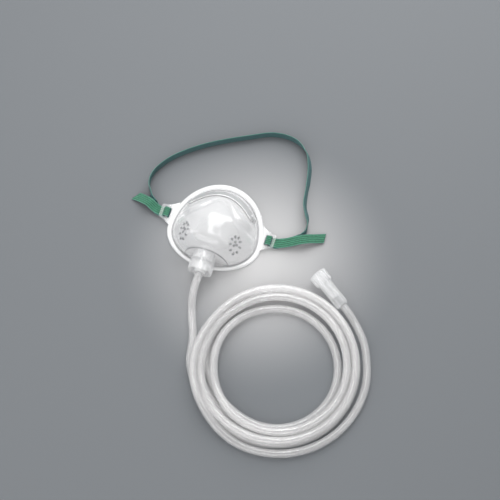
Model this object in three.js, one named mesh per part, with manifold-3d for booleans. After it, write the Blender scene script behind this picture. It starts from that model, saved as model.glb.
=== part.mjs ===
// Child's simple oxygen mask, lying face side down with its supply tubing coiled beside it.
// Millimetres. The mask's rim lies on z = 0, +Z points out of the face, +Y to the bridge of
// the nose and -Y to the chin, where the swivel connector takes the tubing.
import * as THREE from 'three';
import { mergeVertices } from 'three/addons/utils/BufferGeometryUtils.js';
import Module from 'manifold-3d';

const wasm = await Module();
wasm.setup();

// ---- driving dimensions --------------------------------------------------------------
// Outline of the rim: two half ellipses that share their widest line.
const centreY = -5;
const rimHalfWidth = 40;
const rimNoseLength = 47.6;
const rimChinLength = 29;
const rimThickness = 1.8;
// The rim's visible width at the cheeks, nose and chin.
const rimSideWidth = 5;
const rimNoseWidth = 6.2;
const rimChinWidth = 3.4;

const domeHeight = 38;
const shellWall = 1.4;
// Fullness of the dome: 1 is a straight slope, and larger values are boxier.
const noseFullness = { plan: 1.35, height: 1.15 };
const cheekFullness = { plan: 1.75, height: 1.35 };
const chinFullness = { plan: 4, height: 1.9 };

const gap = 0.3;

// The chin port, whose axis lies along Y.
const portHeight = 15;
const portBore = 14;
const portWall = 2.6;
const portLength = 7.7;
const portFaceY = -33.2;

const collarDiameter = 20;
const collarLength = 9.1;
const collarWall = 1.2;
const gripCount = 8;
const gripDiameter = 3.4;
const lipDepth = 1.6;
const lipThickness = 1.4;
const stemWall = 1.3;
const nippleDiameter = 6.2;
const nippleLength = 6;
const gasBore = 3.2;

const sleeveWall = 1.3;
const sleeveOverhang = 1;

const ventHole = 1.6;
const ventRings = [{ count: 9, circle: 12.5 }, { count: 3, circle: 3.4 }];
const ventX = 21.5;
const ventY = -15;

const clipWidth = 6;
const clipThickness = 0.8;
const clipEndX = 25.6;
const clipEndY = 15.2;
const clipPeakY = 28.2;
const clipLift = 0.5;
const studStem = 2.6;
const studHead = 5;
const studHeadThickness = 0.9;

const tabTilt = THREE.MathUtils.degToRad(17);
// The tab's root is sunk into the rim.
const tabRootX = rimHalfWidth - 3.5;
const tabReach = 13.6;
const tabRootWidth = 25;
const tabEndWidth = 12.5;
const tabThickness = 1.4;
const tabY = 3.5;
const tabBottomAtRoot = 0.25;
const barWidth = 2.2;
const slotWidth = 2;
const outerBarWidth = 2.6;

const strapWidth = 8;
const strapThickness = 0.9;

const tubeDiameter = 6.3;
const tubeSides = 12;

const coilX = 80;
const coilY = -94.5;
const coilOuterRadius = 65.2;
const coilInnerRadius = 46.6;
const coilHeight = 12.6;

const connectorLength = 33;
const mouthDiameter = 14.6;
const mouthLength = 9.5;
const mouthBore = 10.4;
const sleeveDiameter = 10.8;
const connectorBore = 7;
const connectorBoreDepth = 24;
const tubeEnd = new THREE.Vector2(116.7, -33.2);
const connectorHeading = THREE.MathUtils.degToRad(144.6);

// ---- materials -----------------------------------------------------------------------
function material(color, roughness, metalness = 0) {
  return new THREE.MeshStandardMaterial({ color, roughness, metalness });
}
const clearVinyl = material(0xe4e6e6, 0.25);
const clearPlastic = material(0xdfe3e4, 0.2);
const milkyVinyl = material(0xeef0ee, 0.4);
const aluminium = material(0xb9bcbd, 0.45, 0.8);
const greenElastic = material(0x3c8561, 0.9);

// ---- solids --------------------------------------------------------------------------
// Merges the shared corners, and drops the triangles that this leaves without an area.
function closed(geometry) {
  geometry.deleteAttribute('normal');
  geometry.deleteAttribute('uv');
  const merged = mergeVertices(geometry, 1e-4);
  const corners = merged.index.array;
  const kept = [];
  for (let i = 0; i < corners.length; i += 3) {
    const [a, b, c] = corners.slice(i, i + 3);
    if (a !== b && b !== c && c !== a) {
      kept.push(a, b, c);
    }
  }
  merged.setIndex(kept);
  return merged;
}

function solid(geometry) {
  const merged = closed(geometry);
  return new wasm.Manifold(new wasm.Mesh({
    numProp: 3,
    vertProperties: new Float32Array(merged.attributes.position.array),
    triVerts: new Uint32Array(merged.index.array),
  }));
}

function geometryOf(body) {
  const mesh = body.getMesh();
  const geometry = new THREE.BufferGeometry();
  geometry.setAttribute('position', new THREE.BufferAttribute(mesh.vertProperties, 3));
  geometry.setIndex(new THREE.BufferAttribute(mesh.triVerts, 1));
  return geometry;
}

// Turns a solid's faces out when its points were mapped by a mirroring function.
function facingOut(geometry) {
  const merged = closed(geometry);
  const p = merged.attributes.position;
  const index = merged.index.array;
  const [a, b, c] = [new THREE.Vector3(), new THREE.Vector3(), new THREE.Vector3()];
  let volume = 0;
  for (let i = 0; i < index.length; i += 3) {
    a.fromBufferAttribute(p, index[i]);
    b.fromBufferAttribute(p, index[i + 1]);
    c.fromBufferAttribute(p, index[i + 2]);
    volume += a.dot(b.cross(c));
  }
  if (volume < 0) {
    for (let i = 0; i < index.length; i += 3) {
      [index[i], index[i + 1]] = [index[i + 1], index[i]];
    }
  }
  return merged;
}

function turned(points, segments) {
  return new THREE.LatheGeometry(points.map(([r, h]) => new THREE.Vector2(r, h)), segments);
}

function cylinder(radius, length, segments = 24) {
  return new THREE.CylinderGeometry(radius, radius, length, segments);
}

function mesh(name, geometry, look) {
  const piece = new THREE.Mesh(geometry, look);
  piece.name = name;
  return piece;
}

// ---- the mask shell ------------------------------------------------------------------
function between(low, high, value) {
  return THREE.MathUtils.smoothstep(value, low, high);
}

// Radius of the outline at an angle around the mask's centre; inset moves it in.
function outline(angle, insetSide, insetNose, insetChin) {
  const [c, s] = [Math.cos(angle), Math.sin(angle)];
  const width = rimHalfWidth - insetSide;
  const length = s > 0 ? rimNoseLength - insetNose : rimChinLength - insetChin;
  return 1 / Math.hypot(c / width, s / length);
}

function domeRadius(angle) {
  return outline(angle, rimSideWidth, rimNoseWidth, rimChinWidth);
}

function fullness(angle) {
  const s = Math.sin(angle);
  const nose = between(0.35, 1, s);
  const chin = between(0.2, 1, -s);
  const mix = (key) => cheekFullness[key]
    + nose * (noseFullness[key] - cheekFullness[key])
    + chin * (chinFullness[key] - cheekFullness[key]);
  return { plan: mix('plan'), height: mix('height') };
}

// A point of the dome's outer face; rise runs from 0 at the rim to 1 at the top.
function domePoint(angle, rise) {
  const full = fullness(angle);
  const turn = rise * Math.PI / 2;
  const reach = Math.max(Math.cos(turn), 0) ** (2 / full.plan) * domeRadius(angle);
  const height = Math.sin(turn) ** (2 / full.height) * (domeHeight - rimThickness);
  return new THREE.Vector3(
    reach * Math.cos(angle),
    centreY + reach * Math.sin(angle),
    rimThickness + height,
  );
}

function domeNormal(angle, rise) {
  const step = 1e-3;
  const safe = THREE.MathUtils.clamp(rise, 0.03, 0.97);
  const along = domePoint(angle, safe + step).sub(domePoint(angle, safe - step));
  const around = domePoint(angle + step, safe).sub(domePoint(angle - step, safe));
  return around.cross(along).normalize();
}

// Point and normal of the dome over a point of the plan.
function domeOver(x, y) {
  const angle = Math.atan2(y - centreY, x);
  const full = fullness(angle);
  const reach = Math.hypot(x, y - centreY) / domeRadius(angle);
  const rise = Math.acos(reach ** (full.plan / 2)) * 2 / Math.PI;
  return { point: domePoint(angle, rise), normal: domeNormal(angle, rise) };
}

// The shell's section, walked from the top down the outside, round the rim and back up the
// inside. A lathe turns it, and each of its points is then moved onto the mask's own form.
function shellSection() {
  const rings = 10;
  const section = [];
  for (let i = rings; i >= 0; i -= 1) {
    section.push({ rise: i / rings, depth: 0 });
  }
  section.push({ edge: 'outer', z: rimThickness });
  section.push({ edge: 'outer', z: 0 });
  section.push({ edge: 'inner', z: 0 });
  for (let i = 1; i <= rings; i += 1) {
    section.push({ rise: i / rings, depth: shellWall });
  }
  return section;
}

function shellPoint(angle, step) {
  if (step.edge === 'outer') {
    const r = outline(angle, 0, 0, 0);
    return new THREE.Vector3(r * Math.cos(angle), centreY + r * Math.sin(angle), step.z);
  }
  if (step.edge === 'inner') {
    const r = domeRadius(angle) - shellWall;
    return new THREE.Vector3(r * Math.cos(angle), centreY + r * Math.sin(angle), step.z);
  }
  if (step.rise === 1) {
    return new THREE.Vector3(0, centreY, domeHeight - step.depth);
  }
  return domePoint(angle, step.rise).addScaledVector(domeNormal(angle, step.rise), -step.depth);
}

function domeGeometry() {
  const segments = 52;
  const section = shellSection();
  const last = section.length - 1;
  const profile = section.map((step, i) => {
    const onAxis = i === 0 || i === last;
    return new THREE.Vector2(onAxis ? 0 : 10, -i);
  });
  const geometry = new THREE.LatheGeometry(profile, segments);
  const p = geometry.attributes.position;
  for (let i = 0; i < p.count; i += 1) {
    const turn = Math.floor(i / section.length) % segments;
    const moved = shellPoint(turn / segments * Math.PI * 2, section[i % section.length]);
    p.setXYZ(i, moved.x, moved.y, moved.z);
  }
  return facingOut(geometry);
}

// A strap tab, drawn flat with x outwards from its root.
function tabShape() {
  const shape = new THREE.Shape();
  shape.moveTo(0, -tabRootWidth / 2);
  shape.lineTo(0, tabRootWidth / 2);
  shape.quadraticCurveTo(tabReach * 0.35, tabEndWidth * 0.62, tabReach - 1.5, tabEndWidth / 2);
  shape.quadraticCurveTo(tabReach, tabEndWidth / 2, tabReach, tabEndWidth / 2 - 1.5);
  shape.lineTo(tabReach, 1.5 - tabEndWidth / 2);
  shape.quadraticCurveTo(tabReach, -tabEndWidth / 2, tabReach - 1.5, -tabEndWidth / 2);
  shape.quadraticCurveTo(tabReach * 0.35, -tabEndWidth * 0.62, 0, -tabRootWidth / 2);
  return shape;
}

function tabSolid(side) {
  const place = (geometry) => {
    geometry.rotateY(-tabTilt);
    if (side < 0) {
      geometry.rotateZ(Math.PI);
    }
    return solid(geometry.translate(side * tabRootX, tabY, tabBottomAtRoot));
  };
  let body = place(new THREE.ExtrudeGeometry(tabShape(), {
    depth: tabThickness, bevelEnabled: false, curveSegments: 4,
  }));
  const outerSlot = tabReach - outerBarWidth - slotWidth / 2;
  const innerSlot = outerSlot - slotWidth - barWidth;
  for (const middle of [innerSlot, outerSlot]) {
    const slot = new THREE.BoxGeometry(slotWidth, strapWidth + 1.2, tabThickness * 3);
    body = body.subtract(place(slot.translate(middle, 0, 0)));
  }
  return body;
}

function alongPort(geometry, y) {
  return geometry.translate(0, y, portHeight);
}

function placedOn(geometry, point, normal) {
  const turn = new THREE.Quaternion().setFromUnitVectors(new THREE.Vector3(0, 1, 0), normal);
  return geometry.applyQuaternion(turn).translate(point.x, point.y, point.z);
}

function ventCutters(side) {
  const middle = domeOver(side * ventX, ventY);
  const cutters = [];
  for (const { count, circle } of ventRings) {
    for (let i = 0; i < count; i += 1) {
      const turn = i / count * Math.PI * 2;
      const hole = cylinder(ventHole / 2, 8, 8);
      hole.translate(circle / 2 * Math.cos(turn), 0, circle / 2 * Math.sin(turn));
      cutters.push(placedOn(hole, middle.point, middle.normal));
    }
  }
  return cutters;
}

function maskShell() {
  const portRadius = portBore / 2;
  const neck = alongPort(cylinder(portRadius + portWall, portLength, 32), portFaceY + portLength / 2);
  const bore = alongPort(cylinder(portRadius, portLength + 4, 32), portFaceY + portLength / 2);
  let body = solid(domeGeometry()).add(tabSolid(1)).add(tabSolid(-1)).add(solid(neck));
  body = body.subtract(solid(bore));
  for (const side of [-1, 1]) {
    for (const cutter of ventCutters(side)) {
      body = body.subtract(solid(cutter));
    }
    const stud = domeOver(side * clipEndX, clipEndY);
    const hole = placedOn(cylinder(studStem / 2 + gap, 8, 12), stud.point, stud.normal);
    body = body.subtract(solid(hole));
  }
  return mesh('mask_shell', geometryOf(body), clearVinyl);
}

// ---- nose clip and its studs ---------------------------------------------------------
// The strip's middle line in plan: a parabola over the bridge of the nose.
function clipLine(t) {
  const x = t * clipEndX;
  return new THREE.Vector2(x, clipPeakY - (clipPeakY - clipEndY) * t * t);
}

function noseClip() {
  const overrun = 1 + studHead / 2 / clipEndX;
  const geometry = new THREE.BoxGeometry(1, 1, 1, 4, 1, 28);
  const p = geometry.attributes.position;
  for (let i = 0; i < p.count; i += 1) {
    const t = p.getZ(i) * 2 * overrun;
    const here = clipLine(t);
    const ahead = clipLine(t + 0.01).sub(clipLine(t - 0.01)).normalize();
    const across = p.getX(i) * clipWidth;
    const over = domeOver(here.x - ahead.y * across, here.y + ahead.x * across);
    const lift = clipLift + (p.getY(i) + 0.5) * clipThickness;
    const at = over.point.addScaledVector(over.normal, lift);
    p.setXYZ(i, at.x, at.y, at.z);
  }
  let body = solid(facingOut(geometry));
  for (const side of [-1, 1]) {
    const stud = domeOver(side * clipEndX, clipEndY);
    const hole = placedOn(cylinder(studStem / 2 + gap, 8, 12), stud.point, stud.normal);
    body = body.subtract(solid(hole));
  }
  return mesh('nose_clip', geometryOf(body), aluminium);
}

function clipStud(side) {
  const stem = studStem / 2;
  const head = studHead / 2;
  const underHead = clipLift + clipThickness + gap + 0.1;
  const insideShell = -shellWall - gap - 0.15;
  const profile = [
    [0, insideShell - studHeadThickness], [head * 0.8, insideShell - studHeadThickness],
    [head * 0.8, insideShell], [stem, insideShell], [stem, underHead], [head, underHead],
    [head, underHead + studHeadThickness * 0.5], [head * 0.6, underHead + studHeadThickness],
    [0, underHead + studHeadThickness],
  ];
  const stud = domeOver(side * clipEndX, clipEndY);
  const geometry = placedOn(turned(profile, 16), stud.point, stud.normal);
  return mesh(side < 0 ? 'clip_stud_left' : 'clip_stud_right', closed(geometry), milkyVinyl);
}

// ---- swivel connector and the tubing's end sleeve ------------------------------------
// Both are turned about the port's axis; h counts outwards from the port's outer face.
function onPortAxis(geometry) {
  return geometry.rotateX(Math.PI).translate(0, portFaceY, portHeight);
}

function swivelCollar() {
  const stem = portBore / 2 - gap;
  const lip = portBore / 2 + lipDepth;
  const outer = collarDiameter / 2;
  const inner = outer - collarWall;
  const tip = nippleDiameter / 2;
  const inside = -portLength - gap - lipThickness;
  const web = gap + 1.5;
  const end = gap + collarLength;
  const profile = [
    [gasBore / 2, web - 2], [stem - stemWall, web - 2], [stem - stemWall, inside], [lip, inside],
    [lip, inside + lipThickness], [stem, inside + lipThickness], [stem, gap], [outer, gap],
    [outer, end], [inner, end], [inner, web], [tip, web], [tip - 0.3, web + nippleLength],
    [gasBore / 2, web + nippleLength], [gasBore / 2, web - 2],
  ];
  let body = solid(facingOut(turned(profile, 32)));
  for (let i = 0; i < gripCount; i += 1) {
    const turn = (i + 0.5) / gripCount * Math.PI * 2;
    const notch = cylinder(gripDiameter / 2, collarLength, 10);
    notch.translate(
      (outer + gripDiameter * 0.22) * Math.cos(turn),
      end - collarLength * 0.1,
      (outer + gripDiameter * 0.22) * Math.sin(turn),
    );
    body = body.subtract(solid(notch));
  }
  return mesh('swivel_collar', onPortAxis(geometryOf(body)), clearPlastic);
}

const sleeveStart = gap * 2 + 1.5;
const sleeveEnd = gap + collarLength + sleeveOverhang;
const tubeStartY = portFaceY - sleeveEnd - gap;

function tubeSleeve() {
  const bore = nippleDiameter / 2 + gap;
  const nippleEnd = gap + 1.5 + nippleLength + gap;
  const profile = [
    [bore, sleeveStart], [bore + sleeveWall + 0.5, sleeveStart], [bore + sleeveWall, sleeveEnd],
    [gasBore / 2, sleeveEnd], [gasBore / 2, nippleEnd], [bore, nippleEnd], [bore, sleeveStart],
  ];
  return mesh('tube_sleeve', onPortAxis(facingOut(turned(profile, 20))), milkyVinyl);
}

// ---- supply tubing -------------------------------------------------------------------
function tube(name, points, steps) {
  const shape = new THREE.Shape();
  shape.absarc(0, 0, tubeDiameter / 2, 0, Math.PI * 2);
  const path = new THREE.CatmullRomCurve3(points.map(([x, y, z]) => new THREE.Vector3(x, y, z)));
  const geometry = new THREE.ExtrudeGeometry(shape, {
    steps, curveSegments: tubeSides / 2, extrudePath: path, bevelEnabled: false,
  });
  return mesh(name, closed(geometry), clearVinyl);
}

const tubeFloor = tubeDiameter / 2 + 0.05;
const shoulderHeight = mouthDiameter / 2 + 0.08;
const shoulderAt = connectorLength - mouthLength;
const tubeLift = (sleeveDiameter - tubeDiameter) / 2 + 0.1;
const connectorPitch = Math.asin((shoulderHeight - tubeFloor - tubeLift) / shoulderAt);
const connectorAxis = new THREE.Vector3(
  Math.cos(connectorHeading) * Math.cos(connectorPitch),
  Math.sin(connectorHeading) * Math.cos(connectorPitch),
  Math.sin(connectorPitch),
);
const connectorStart = new THREE.Vector3(tubeEnd.x, tubeEnd.y, tubeFloor + tubeLift);

// From the sleeve in the swivel connector down to the table and round to the coil.
const leadPoints = [
  [0, tubeStartY, portHeight],
  [0, tubeStartY - 4, portHeight],
  [-0.6, -54, 11.5],
  [0, -62, 6.4],
  [1.8, -70, 3.7],
  [4.6, -78, tubeFloor],
  [8.2, -86.5, tubeFloor],
  [10.6, -94, tubeFloor],
];

// From the coil's right side round its outside to the supply connector.
const tailPoints = [
  [150.6, -86, tubeFloor],
  [147.6, -72.5, tubeFloor],
  [142.2, -60.5, tubeFloor],
  [135.2, -50, tubeFloor],
  [127.4, -41.6, tubeFloor + tubeLift * 0.15],
  [121.2, -36.4, tubeFloor + tubeLift * 0.75],
  connectorStart.clone().addScaledVector(connectorAxis, -gap - 0.1).toArray(),
];

function tubeCoil() {
  const chamfer = tubeDiameter / 2;
  const profile = [
    [coilInnerRadius + chamfer, 0.02], [coilOuterRadius - chamfer, 0.02],
    [coilOuterRadius, chamfer], [coilOuterRadius, coilHeight - chamfer],
    [coilOuterRadius - chamfer, coilHeight], [coilInnerRadius + chamfer, coilHeight],
    [coilInnerRadius, coilHeight - chamfer], [coilInnerRadius, chamfer],
    [coilInnerRadius + chamfer, 0.02],
  ];
  const geometry = turned(profile, 48).rotateX(Math.PI / 2).translate(coilX, coilY, 0);
  return mesh('tube_coil', facingOut(geometry), clearVinyl);
}

// ---- supply connector ----------------------------------------------------------------
function supplyConnector() {
  const floor = connectorLength - connectorBoreDepth;
  const profile = [
    [0, 0], [sleeveDiameter / 2 - 0.8, 0], [sleeveDiameter / 2, 1.5],
    [sleeveDiameter / 2, shoulderAt - 1.2], [mouthDiameter / 2, shoulderAt],
    [mouthDiameter / 2, connectorLength], [mouthBore / 2, connectorLength],
    [connectorBore / 2, shoulderAt - 3], [connectorBore / 2 - 0.6, floor], [0, floor],
  ];
  const geometry = turned(profile, 28);
  return mesh('supply_connector', closed(placedOn(geometry, connectorStart, connectorAxis)), clearVinyl);
}

// ---- head strap ----------------------------------------------------------------------
// A ribbon: a long box bent along a curve. It stays flat unless its stand turns it on edge,
// and it never sinks below the table.
function ribbon(name, stations, steps) {
  const path = new THREE.CatmullRomCurve3(stations.map(([x, y, z]) => new THREE.Vector3(x, y, z)));
  path.curveType = 'centripetal';
  const spans = stations.length - 1;
  const frames = [];
  let flat = new THREE.Vector3(0, 1, 0);
  for (let i = 0; i <= steps; i += 1) {
    const t = i / steps;
    const tangent = path.getTangent(t);
    const level = new THREE.Vector3(0, 0, 1).cross(tangent);
    if (level.length() > 0.35) {
      level.normalize();
      flat = level.dot(flat) < 0 ? level.negate() : level;
    } else {
      flat = flat.clone().addScaledVector(tangent, -flat.dot(tangent)).normalize();
    }
    const k = Math.min(Math.floor(t * spans), spans - 1);
    const mix = between(0, 1, t * spans - k);
    const stand = (stations[k][3] ?? 0) * (1 - mix) + (stations[k + 1][3] ?? 0) * mix;
    const across = flat.clone().applyAxisAngle(tangent, THREE.MathUtils.degToRad(stand));
    const face = across.clone().cross(tangent);
    const at = path.getPoint(t);
    const rest = (Math.abs(across.z) * strapWidth + Math.abs(face.z) * strapThickness) / 2;
    at.z = Math.max(at.z, rest + 0.05);
    frames.push({ at, across, face });
  }
  const geometry = new THREE.BoxGeometry(1, 1, 1, 1, 1, steps);
  const p = geometry.attributes.position;
  for (let i = 0; i < p.count; i += 1) {
    const frame = frames[Math.round((p.getZ(i) + 0.5) * steps)];
    const at = frame.at.clone()
      .addScaledVector(frame.across, p.getX(i) * strapWidth)
      .addScaledVector(frame.face, p.getY(i) * strapThickness);
    p.setXYZ(i, at.x, at.y, at.z);
  }
  return mesh(name, facingOut(geometry), greenElastic);
}

const tabEndX = tabRootX + tabReach * Math.cos(tabTilt);

// Height of the tab's underside at a distance from the mask's middle line.
function underTab(x) {
  return tabBottomAtRoot + (x - tabRootX) * Math.tan(tabTilt);
}

// The strap's way through a tab, from its free tail to the side that goes round the head:
// under the outer bar, up the outer slot, over the middle bar and down the inner slot.
function lacing(side) {
  const half = strapThickness / 2;
  const clear = gap + 0.35 + half;
  const lean = tabThickness / Math.cos(tabTilt);
  const outerSlot = tabEndX - outerBarWidth - slotWidth / 2 + 0.1;
  const middleBar = outerSlot - slotWidth / 2 - barWidth / 2;
  const innerSlot = middleBar - barWidth / 2 - slotWidth / 2 - 0.1;
  const over = underTab(middleBar) + lean + clear;
  return [
    [tabEndX + 0.6, underTab(tabEndX) - clear],
    [tabEndX - outerBarWidth / 2, underTab(tabEndX - outerBarWidth / 2) - clear],
    [outerSlot + 0.5, underTab(outerSlot) - 0.5],
    [outerSlot, underTab(outerSlot) + lean * 0.5],
    [outerSlot - 0.35, over - 0.05],
    [middleBar + 0.1, over + 0.2],
    [innerSlot + 0.35, over - 0.5],
    [innerSlot, underTab(innerSlot) + lean * 0.5],
    [innerSlot + 0.5, underTab(innerSlot) - 0.4],
    [innerSlot + 2.2, half + 0.12],
    [tabEndX + 0.5, half + 0.06],
  ].map(([x, z]) => [side * x, tabY, z]);
}

// A station of the strap at a distance beyond the end of one side's tab.
function beyond(side, distance, y, z, stand = 0) {
  return [side * (tabEndX + distance), y, z, stand];
}

const onEdge = -90;
const edgeHeight = strapWidth / 2 + 0.1;

const strapStations = [
  beyond(-1, 25.9, 9.2, 0.6),
  beyond(-1, 18, 8.2, 3.6),
  beyond(-1, 10.5, 5.9, 6.1),
  beyond(-1, 4.5, 4.3, 3.6),
  ...lacing(-1),
  beyond(-1, 3.5, 4.6, 0.5),
  beyond(-1, 6.9, 7, 0.5, -8),
  beyond(-1, 10.1, 10.9, 2.1, -46),
  beyond(-1, 12.3, 15.8, edgeHeight, -86),
  beyond(-1, 16.2, 22, edgeHeight, onEdge),
  beyond(-1, 17.3, 28.5, edgeHeight, onEdge),
  beyond(-1, 16.3, 34.8, edgeHeight, onEdge),
  beyond(-1, 12.9, 42, edgeHeight, onEdge),
  [-56, 51, edgeHeight, onEdge],
  [-45.5, 61, edgeHeight, onEdge],
  [-28, 73.5, edgeHeight, onEdge],
  [0, 88.5, edgeHeight, onEdge],
  [22, 98, edgeHeight, onEdge],
  [40, 97.5, edgeHeight, onEdge],
  [52.4, 89, edgeHeight, onEdge],
  [57.6, 78.5, edgeHeight, onEdge],
  [60.4, 66, edgeHeight, onEdge],
  beyond(1, 12.3, 54.5, edgeHeight, onEdge),
  beyond(1, 14.4, 42, edgeHeight, onEdge),
  beyond(1, 18.8, 33, edgeHeight, onEdge),
  beyond(1, 21, 26.2, edgeHeight, onEdge),
  beyond(1, 21.4, 20.2, edgeHeight, -84),
  beyond(1, 20.4, 15.8, 3.2, -58),
  beyond(1, 17.2, 12, 1.4, -24),
  beyond(1, 12, 8.9, 0.6, -4),
  beyond(1, 7.5, 6.9, 0.5),
  beyond(1, 4.1, 5.4, 0.5),
  ...lacing(1).reverse(),
  beyond(1, 4.5, 4.3, 3.2),
  beyond(1, 11.5, 7, 5),
  beyond(1, 18.5, 10.2, 7),
  beyond(1, 25, 13.6, 6),
  beyond(1, 30.5, 16.3, 3.6),
  beyond(1, 36.1, 19, 1.2),
];

// ---- the object ----------------------------------------------------------------------
const object = new THREE.Group();
object.add(maskShell());
object.add(noseClip());
object.add(clipStud(-1));
object.add(clipStud(1));
object.add(swivelCollar());
object.add(tubeSleeve());
object.add(tube('tube_lead', leadPoints, 16));
object.add(tubeCoil());
object.add(tube('tube_tail', tailPoints, 14));
object.add(supplyConnector());
object.add(ribbon('head_strap', strapStations, 160));

export default object;
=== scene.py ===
"""A child's simple oxygen mask lying on its rim, with its strap and its coiled supply tubing.

Sizes are in millimetres up to the helpers that build meshes, which turn them into metres.
The frame is the CAD model's: the rim lies on z = 0, +Y points to the bridge of the nose.
"""
import math

import bmesh
import bpy
from mathutils import Matrix, Quaternion, Vector


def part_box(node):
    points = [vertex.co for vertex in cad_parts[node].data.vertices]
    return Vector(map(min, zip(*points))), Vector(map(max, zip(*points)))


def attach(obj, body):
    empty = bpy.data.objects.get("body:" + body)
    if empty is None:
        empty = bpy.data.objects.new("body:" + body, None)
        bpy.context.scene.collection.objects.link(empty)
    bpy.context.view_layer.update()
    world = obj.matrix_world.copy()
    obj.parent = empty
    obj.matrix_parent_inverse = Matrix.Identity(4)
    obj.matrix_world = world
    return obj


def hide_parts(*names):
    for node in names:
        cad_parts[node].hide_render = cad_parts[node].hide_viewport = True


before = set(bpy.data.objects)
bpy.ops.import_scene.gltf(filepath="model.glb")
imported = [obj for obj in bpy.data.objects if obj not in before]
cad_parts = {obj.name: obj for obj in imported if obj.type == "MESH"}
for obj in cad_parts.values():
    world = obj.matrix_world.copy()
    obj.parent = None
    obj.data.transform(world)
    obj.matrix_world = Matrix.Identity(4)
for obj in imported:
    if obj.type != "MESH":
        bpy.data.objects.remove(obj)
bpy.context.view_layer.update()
MM = 0.001


def box_mm(node):
    """Lowest and highest corner of a CAD node, in millimetres."""
    low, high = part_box(node)
    return Vector(low) / MM, Vector(high) / MM


# ---- sizes taken from the CAD model ---------------------------------------------------
shell_low, shell_high = box_mm("mask_shell")
CENTRE_Y = -5.0
RIM_HALF_WIDTH = 40.0
RIM_NOSE = shell_high.y - CENTRE_Y
RIM_CHIN = CENTRE_Y - shell_low.y
RIM_THICKNESS = 1.8
RIM_SIDE_WIDTH = 5.0
RIM_NOSE_WIDTH = 6.2
RIM_CHIN_WIDTH = 3.4
DOME_TOP = shell_high.z
WALL = 1.4

PORT_Y = -33.2
PORT_HEIGHT = 15.0
PORT_BORE = 7.0
PORT_NECK = 9.6
PORT_LENGTH = 7.7
COLLAR_END = PORT_Y - box_mm("swivel_collar")[0].y
COLLAR_RADIUS = box_mm("swivel_collar")[1].x
SLEEVE_END = PORT_Y - box_mm("tube_sleeve")[0].y

TAB_TILT = math.radians(17)
TAB_ROOT = RIM_HALF_WIDTH - 3.5
TAB_REACH = 13.6
TAB_Y = 3.5
TAB_BOTTOM = 0.25
TAB_THICKNESS = 1.4
TAB_END = TAB_ROOT + TAB_REACH * math.cos(TAB_TILT)

CLIP_END_X = 25.6
CLIP_END_Y = 15.2
CLIP_PEAK_Y = 28.2
CLIP_WIDTH = 6.0
CLIP_THICKNESS = 0.8
CLIP_LIFT = 0.5
STUD_HOLE = 1.6

STRAP_WIDTH = 8.0
STRAP_THICKNESS = 0.9
STRAP_RIBS = 5
RIB_DEPTH = 0.06

TUBE_RADIUS = 3.15
TUBE_WIDTH = 2 * TUBE_RADIUS
TUBE_BORE = 2.0
TUBE_FLOOR = TUBE_RADIUS + 0.05
coil_low, coil_high = box_mm("tube_coil")
COIL_X = (coil_low.x + coil_high.x) / 2
COIL_Y = (coil_low.y + coil_high.y) / 2

CONNECTOR_START = Vector((116.7, -33.2, 5.55))
CONNECTOR_HEADING = math.radians(144.6)
CONNECTOR_LENGTH = 33.0
CONNECTOR_MOUTH = 7.3
CONNECTOR_SHOULDER = 23.5
CONNECTOR_PITCH = math.asin((CONNECTOR_MOUTH + 0.08 - CONNECTOR_START.z) / CONNECTOR_SHOULDER)


# ---- camera ---------------------------------------------------------------------------
# The camera looks down on the table from the chin's side, rolled with the mask's heading.
VIEW_HEADING = math.radians(17)
VIEW_ELEVATION = math.radians(69)
VIEW_DISTANCE = 0.85
VIEW_TARGET = Vector((31.4, -7.4, 0)) * MM
VIEW_WIDTH = 0.41


def add_camera():
    data = bpy.data.cameras.new("camera")
    data.sensor_width = 36
    data.lens = 36 * VIEW_DISTANCE / VIEW_WIDTH
    data.clip_start = 0.01
    camera = bpy.data.objects.new("camera", data)
    bpy.context.collection.objects.link(camera)
    back = Vector((
        math.sin(VIEW_HEADING) * math.cos(VIEW_ELEVATION),
        -math.cos(VIEW_HEADING) * math.cos(VIEW_ELEVATION),
        math.sin(VIEW_ELEVATION),
    ))
    right = Vector((math.cos(VIEW_HEADING), math.sin(VIEW_HEADING), 0))
    up = back.cross(right)
    turn = Matrix((right, up, back)).transposed()
    camera.matrix_world = Matrix.Translation(VIEW_TARGET + back * VIEW_DISTANCE) @ turn.to_4x4()
    bpy.context.scene.camera = camera


add_camera()


# ---- curves ---------------------------------------------------------------------------
def catmull(points, t):
    """Point of a centripetal Catmull-Rom curve through the points, t from 0 to 1."""
    spans = len(points) - 1
    where = min(max(t, 0.0), 1.0) * spans
    k = min(int(where), spans - 1)
    f = where - k
    p1, p2 = points[k], points[k + 1]
    p0 = points[k - 1] if k > 0 else p1 * 2 - p2
    p3 = points[k + 2] if k + 2 <= spans else p2 * 2 - p1
    t0 = 0.0
    t1 = t0 + max((p1 - p0).length, 1e-6) ** 0.5
    t2 = t1 + max((p2 - p1).length, 1e-6) ** 0.5
    t3 = t2 + max((p3 - p2).length, 1e-6) ** 0.5
    s = t1 + f * (t2 - t1)
    a1 = p0 * ((t1 - s) / (t1 - t0)) + p1 * ((s - t0) / (t1 - t0))
    a2 = p1 * ((t2 - s) / (t2 - t1)) + p2 * ((s - t1) / (t2 - t1))
    a3 = p2 * ((t3 - s) / (t3 - t2)) + p3 * ((s - t2) / (t3 - t2))
    b1 = a1 * ((t2 - s) / (t2 - t0)) + a2 * ((s - t0) / (t2 - t0))
    b2 = a2 * ((t3 - s) / (t3 - t1)) + a3 * ((s - t1) / (t3 - t1))
    return b1 * ((t2 - s) / (t2 - t1)) + b2 * ((s - t1) / (t2 - t1))


def smoothstep(low, high, value):
    x = min(max((value - low) / (high - low), 0.0), 1.0)
    return x * x * (3 - 2 * x)


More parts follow.
